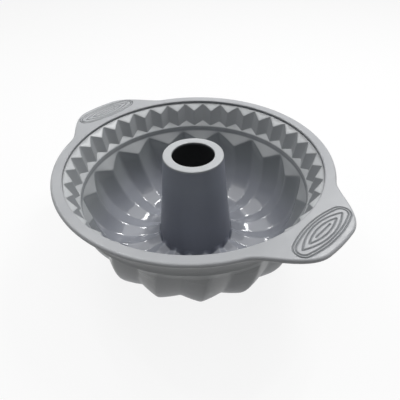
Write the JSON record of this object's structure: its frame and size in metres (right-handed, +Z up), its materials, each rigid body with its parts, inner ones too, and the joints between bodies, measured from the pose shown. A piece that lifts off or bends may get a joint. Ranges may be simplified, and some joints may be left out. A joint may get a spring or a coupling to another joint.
{
  "type": "fluted ring cake pan",
  "caption": "Grey silicone ring-cake pan with a pleated band, a fluted bowl, an open centre tube and two wing handles on a wire-framed rim.",
  "frame": {"origin": "centre of the flat ring that the pan stands on, at table level", "axes": "+Z up along the centre tube, +X along the line through both handles"},
  "size_m": [0.288, 0.24, 0.0996],
  "materials": {
    "cup_silicone": "glossy",
    "rim_silicone": "satin",
    "frame_wire": "drawn wire"
  },
  "bodies": {
    "root": {"fluted_cup": "cup_silicone", "rim_and_handles": "rim_silicone", "rim_hoop": "frame_wire", "handle_wire_right": "frame_wire", "handle_wire_left": "frame_wire"}
  },
  "joints": []
}
